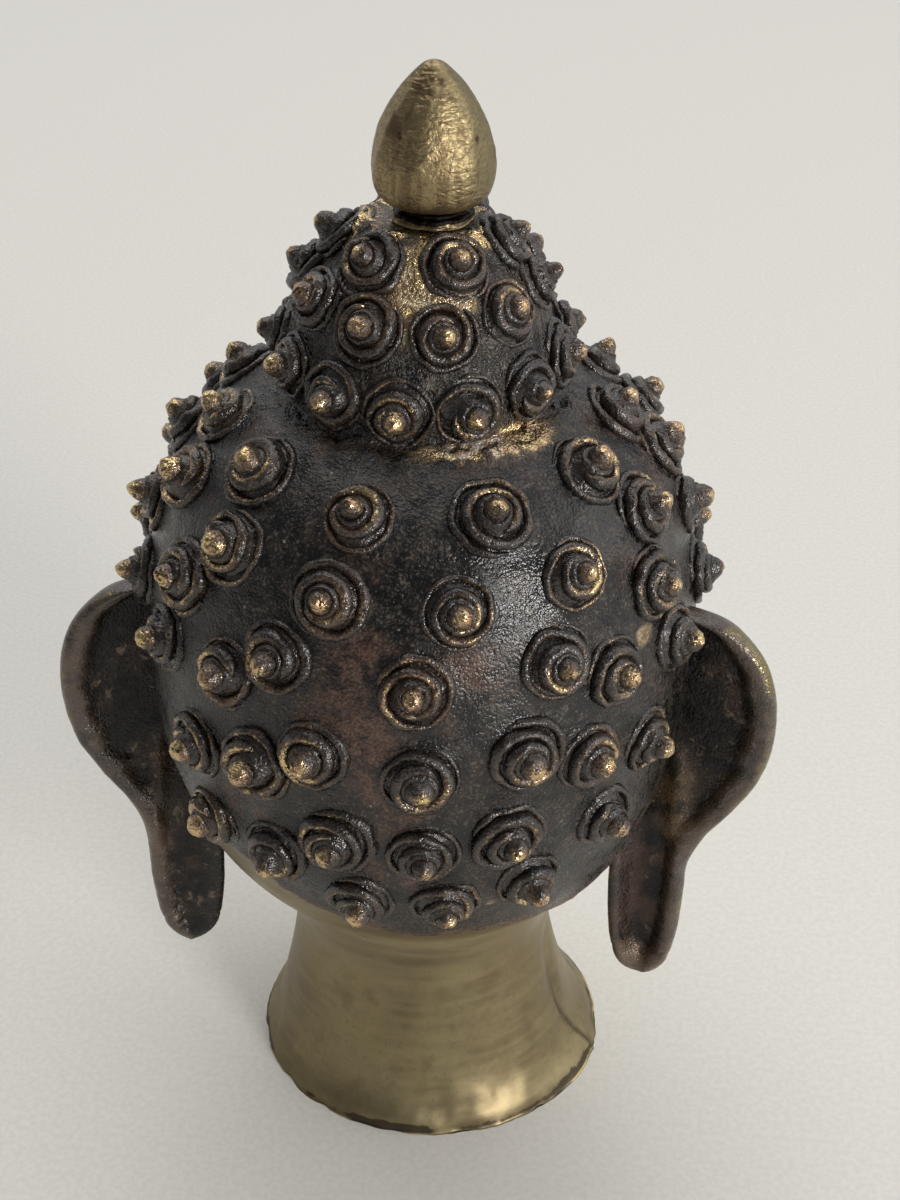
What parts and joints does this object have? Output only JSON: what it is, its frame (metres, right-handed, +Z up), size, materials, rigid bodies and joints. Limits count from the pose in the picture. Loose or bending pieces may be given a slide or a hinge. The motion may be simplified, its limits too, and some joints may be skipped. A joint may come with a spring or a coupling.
{
  "type": "brass buddha head",
  "caption": "Hollow cast head with snail-shell curls, long-lobed ears, a top-knot with a pointed bud, and a flared neck that it stands on.",
  "frame": {"origin": "middle of the footprint, on the surface that the neck's rim stands on", "axes": "+Z up through the neck, the top-knot and the bud; the face looks towards -Y; the head's left ear is towards +X"},
  "size_m": [0.1122, 0.1034, 0.1783],
  "materials": {
    "dark_patina": "near-black brown patina over cast brass, rubbed through to copper and gold on the curls and rims",
    "worn_brass": "dull olive brass on the face and neck, turned and brushed, darker in the recesses and at the foot",
    "filed_brass": "bare brass filed by hand, with slanting file strokes and soft facets"
  },
  "bodies": {
    "root": {"head": "dark_patina", "finial": "filed_brass"}
  },
  "joints": []
}
